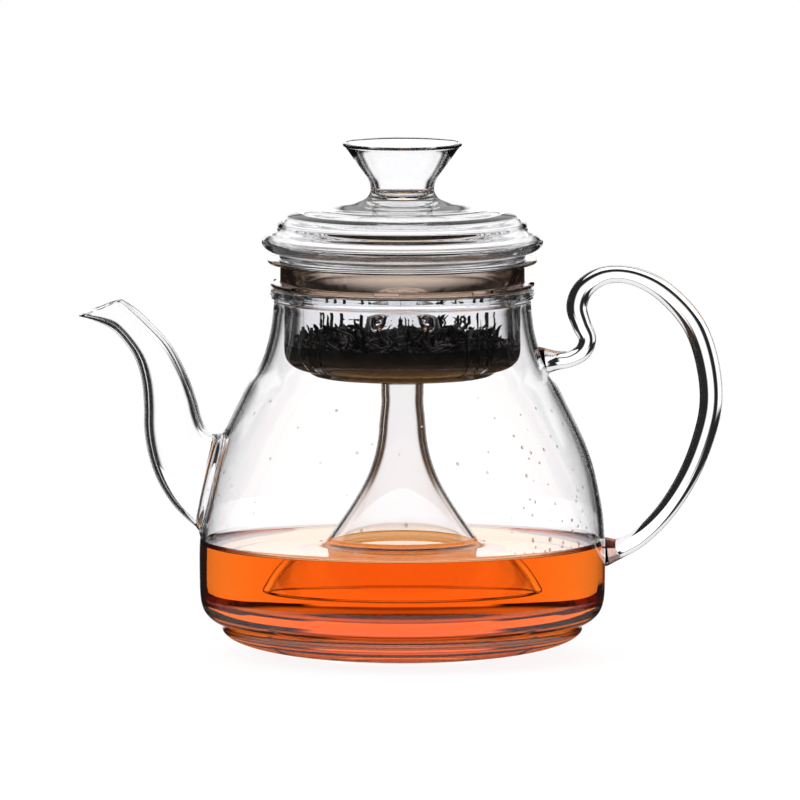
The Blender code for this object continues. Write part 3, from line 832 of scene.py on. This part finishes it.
def wet_tea_leaf():
    """Wet black tea, rolled and oxidised: near black with brown patches, and a cold gloss from the water."""
    material, tree = new_material("wet black tea leaf")
    place = add(tree, "ShaderNodeTexCoord")
    patches = add(  # brown patches about 4 mm across
        tree, "ShaderNodeTexNoise", {"Scale": 250.0, "Detail": 3.0}, {"Vector": place.outputs["Object"]}
    )
    colour = add(tree, "ShaderNodeValToRGB", links={"Fac": patches.outputs[0]})
    near_black, brown = colour.color_ramp.elements
    near_black.position, near_black.color = 0.42, linear("#0B0A0B")
    brown.position, brown.color = 0.72, linear("#2B211B")
    veins = add(  # creases along the rolled leaf, about 0.6 mm apart
        tree, "ShaderNodeTexNoise", {"Scale": 1600.0, "Detail": 2.0}, {"Vector": place.outputs["Object"]}
    )
    creases = add(tree, "ShaderNodeBump", {"Strength": 0.6, "Distance": 0.0003}, {"Height": veins.outputs[0]})
    gloss = add(tree, "ShaderNodeMapRange", {"To Min": 0.22, "To Max": 0.5}, {"Value": veins.outputs[0]})
    shader = add(
        tree, "ShaderNodeBsdfPrincipled", {"IOR": 1.45},
        {"Base Color": colour.outputs[0], "Roughness": gloss.outputs[0], "Normal": creases.outputs[0]},
    )
    add(tree, "ShaderNodeOutputMaterial", links={"Surface": shader.outputs[0]})
    return material


# ---------------------------------------------------------------- studio


def make_studio():
    """A lit white table in a light tent, with cards that light the tea from three sides."""
    make_floor()
    make_table_glow()
    make_card("card_behind", 0, 38)
    make_card("card_left", 90, 18)
    make_card("card_front_right", -135, 40)
    make_world()
    make_light("key_light", (-0.7, -0.5, 1.0), 0.7, 11.0)
    make_light("top_light", (0.3, 0.5, 1.2), 0.8, 8.0)
    make_camera()


def glowing(name, strength, share=1.0):
    """A lit white surface: a share of it glows evenly and the rest is matt white."""
    material, tree = new_material(name)
    glow = add(tree, "ShaderNodeEmission", {"Color": (1, 1, 1, 1), "Strength": strength})
    matt = add(tree, "ShaderNodeBsdfPrincipled", {"Base Color": linear("#F6F6F6"), "Roughness": 0.9})
    mixed = add(tree, "ShaderNodeMixShader", {0: share}, {1: matt.outputs[0], 2: glow.outputs[0]})
    add(tree, "ShaderNodeOutputMaterial", links={"Surface": mixed.outputs[0]})
    return material


def make_floor():
    """A white acrylic table, lit from below, that takes only a faint shadow."""
    only()
    bpy.ops.mesh.primitive_circle_add(vertices=96, radius=0.6, fill_type="NGON", location=(0, 0, -0.0002))
    floor = bpy.context.object
    floor.name = "studio_floor"
    bpy.ops.object.transform_apply(location=True, rotation=True, scale=True)
    floor.data.materials.append(glowing("backlit white acrylic", 1.0, 0.9))
    floor.visible_transmission = False
    floor.visible_glossy = False


def make_table_glow():
    """The table just round the foot, as it shines up through the tea."""
    only()
    bpy.ops.mesh.primitive_circle_add(vertices=96, radius=0.12, fill_type="NGON", location=(0, 0, -0.0004))
    glow = bpy.context.object
    glow.name = "table_glow"
    bpy.ops.object.transform_apply(location=True, rotation=True, scale=True)
    glow.data.materials.append(glowing("table glow", 1.0))
    unseen_but_through_glass(glow)


def unseen_but_through_glass(card):
    """Marks a studio card that only shows through the glass."""
    card.visible_camera = False
    card.visible_diffuse = False
    card.visible_glossy = False
    card.visible_shadow = False


def straight_through(tree, path):
    """1 for light that has passed the glass without being reflected on its way, and 0 for the rest."""
    unreflected = add(
        tree, "ShaderNodeMath", {"operation": "LESS_THAN", 1: 0.5}, {0: path.outputs["Glossy Depth"]}
    )
    return add(
        tree, "ShaderNodeMath", {"operation": "MULTIPLY"},
        {0: unreflected.outputs[0], 1: path.outputs["Is Transmission Ray"]},
    )


def glowing_straight_through(name, strength):
    """A white glow for light that comes straight through the pot, and clear for what the pot reflects."""
    material, tree = new_material(name)
    seen = straight_through(tree, add(tree, "ShaderNodeLightPath"))
    clear = add(tree, "ShaderNodeBsdfTransparent", {"Color": (1, 1, 1, 1)})
    glow = add(tree, "ShaderNodeEmission", {"Color": (1, 1, 1, 1), "Strength": strength})
    mixed = add(
        tree, "ShaderNodeMixShader", links={0: seen.outputs[0], 1: clear.outputs[0], 2: glow.outputs[0]}
    )
    add(tree, "ShaderNodeOutputMaterial", links={"Surface": mixed.outputs[0]})
    return material


def make_card(name, centre_deg, half_deg):
    """A curved white card behind the tea. It ends under the tea's level, so it lights nothing above it."""
    low, high, reach = -0.06, 0.034, 0.2
    only()
    bpy.ops.mesh.primitive_cylinder_add(
        vertices=180, radius=reach, depth=high - low, end_fill_type="NOTHING",
        location=(0, 0, (low + high) / 2),
    )
    card = bpy.context.object
    card.name = name
    bpy.ops.object.transform_apply(location=True, rotation=True, scale=True)
    bpy.ops.object.mode_set(mode="EDIT")
    bpy.ops.mesh.select_all(action="DESELECT")
    bpy.ops.object.mode_set(mode="OBJECT")
    for vertex in card.data.vertices:
        turn = math.degrees(math.atan2(-vertex.co.x, vertex.co.y)) - centre_deg
        vertex.select = abs((turn + 180) % 360 - 180) > half_deg
    bpy.ops.object.mode_set(mode="EDIT")
    bpy.ops.mesh.delete(type="VERT")
    bpy.ops.object.mode_set(mode="OBJECT")
    card.data.materials.append(glowing_straight_through(name.replace("_", " "), 1.35))
    unseen_but_through_glass(card)


def make_light(name, place, size, power):
    """A square soft light aimed at the pot's middle."""
    only()
    bpy.ops.object.light_add(type="AREA", location=place)
    light = bpy.context.object
    light.name = name
    light.data.size = size
    light.data.energy = power
    light.rotation_euler = (Vector((0, 0, 0.05)) - Vector(place)).to_track_quat("-Z", "Y").to_euler()
    light.visible_camera = False
    light.visible_transmission = False
    light.visible_glossy = False


def soft_band(tree, value, half, soft):
    """1 where a value is within half of zero, falling softly to 0 outside."""
    size = add(tree, "ShaderNodeMath", {"operation": "ABSOLUTE"}, {0: value})
    return add(
        tree, "ShaderNodeMapRange",
        {"From Min": half + soft, "From Max": half, "interpolation_type": "SMOOTHSTEP"},
        {"Value": size.outputs[0]},
    )


def panel(tree, angle, rise, centre_deg, half_deg, low, high):
    """A bright panel of the tent: 1 inside its angle and its rise, and 0 well outside."""
    soft_deg, soft_rise = 5, 0.08
    turn = add(tree, "ShaderNodeMath", {"operation": "SUBTRACT", 1: math.radians(centre_deg)}, {0: angle})
    wrapped = add(tree, "ShaderNodeMath", {"operation": "WRAP", 1: math.pi, 2: -math.pi}, {0: turn.outputs[0]})
    across = soft_band(tree, wrapped.outputs[0], math.radians(half_deg), math.radians(soft_deg))
    lifted = add(tree, "ShaderNodeMath", {"operation": "SUBTRACT", 1: (low + high) / 2}, {0: rise})
    upright = soft_band(tree, lifted.outputs[0], (high - low) / 2, soft_rise)
    return add(tree, "ShaderNodeMath", {"operation": "MULTIPLY"}, {0: across.outputs[0], 1: upright.outputs[0]})


def make_world():
    """White to the eye. In the glass it is a set of bright panels in the dark, as glass is photographed."""
    world = bpy.data.worlds.new("light tent")
    bpy.context.scene.world = world
    world.use_nodes = True
    tree = world.node_tree
    tree.nodes.clear()
    place = add(tree, "ShaderNodeTexCoord")
    axes = add(tree, "ShaderNodeSeparateXYZ", links={0: place.outputs["Generated"]})
    left = add(tree, "ShaderNodeMath", {"operation": "MULTIPLY", 1: -1.0}, {0: axes.outputs["X"]})
    turn = add(tree, "ShaderNodeMath", {"operation": "ARCTAN2"}, {0: left.outputs[0], 1: axes.outputs["Y"]})
    angle, rise = turn.outputs[0], axes.outputs["Z"]
    path = add(tree, "ShaderNodeLightPath")
    direct = straight_through(tree, path)
    tent = add(tree, "ShaderNodeValue", {"label": "unlit part of the tent"}).outputs[0]
    for centre_deg, half_deg, low, high, share in TENT_PANELS:
        lit = panel(tree, angle, rise, centre_deg, half_deg, low, high)
        shown = add(tree, "ShaderNodeMath", {"operation": "MULTIPLY", 1: share}, {0: lit.outputs[0]})
        if centre_deg:  # a panel for a side view shows straight through the glass, and never as a reflection
            masked = {0: shown.outputs[0], 1: direct.outputs[0]}
            shown = add(tree, "ShaderNodeMath", {"operation": "MULTIPLY"}, masked)
        brightest = add(tree, "ShaderNodeMath", {"operation": "MAXIMUM"}, {0: tent, 1: shown.outputs[0]})
        tent = brightest.outputs[0]
    seen = add(tree, "ShaderNodeMapRange", {"To Min": 0.02, "To Max": TENT_BRIGHTNESS}, {"Value": tent})
    plain = add(
        tree, "ShaderNodeMath", {"operation": "MAXIMUM"},
        {0: path.outputs["Is Camera Ray"], 1: path.outputs["Is Diffuse Ray"]},
    )
    strength = add(
        tree, "ShaderNodeMix", {"data_type": "FLOAT", "B": 1.0},
        {"Factor": plain.outputs[0], "A": seen.outputs[0]},
    )
    shader = add(tree, "ShaderNodeBackground", {"Color": (1, 1, 1, 1)}, {"Strength": strength.outputs[0]})
    add(tree, "ShaderNodeOutputWorld", links={"Surface": shader.outputs[0]})


def make_camera():
    """A long lens a little above the pot, so that its upright lines stay upright."""
    distance, rise, look = 10.0, 1.088, Vector((-0.0008, 0.0, 0.0853))
    only()
    bpy.ops.object.camera_add(location=(look.x, -distance, rise))
    camera = bpy.context.object
    camera.name = "studio_camera"
    camera.rotation_euler = (look - camera.location).to_track_quat("-Z", "Y").to_euler()
    camera.data.sensor_width = 36.0
    frame_width = 0.2667
    camera.data.lens = 36.0 * (look - camera.location).length / frame_width
    camera.data.clip_end = 100.0
    bpy.context.scene.camera = camera


def main():
    glass = borosilicate_glass()
    make_pot(glass)
    make_infuser(glass)
    make_lid(glass)
    make_seal_ring(smoke_silicone())
    make_tea(black_tea())
    make_leaves(wet_tea_leaf())
    make_condensation(condensed_water())
    make_studio()
    bpy.context.scene.view_settings.view_transform = "Standard"
    bpy.context.scene.cycles.max_bounces = 32
    bpy.context.scene.cycles.transmission_bounces = 32
    bpy.context.scene.cycles.glossy_bounces = 12
    bpy.context.scene.cycles.transparent_max_bounces = 32


main()
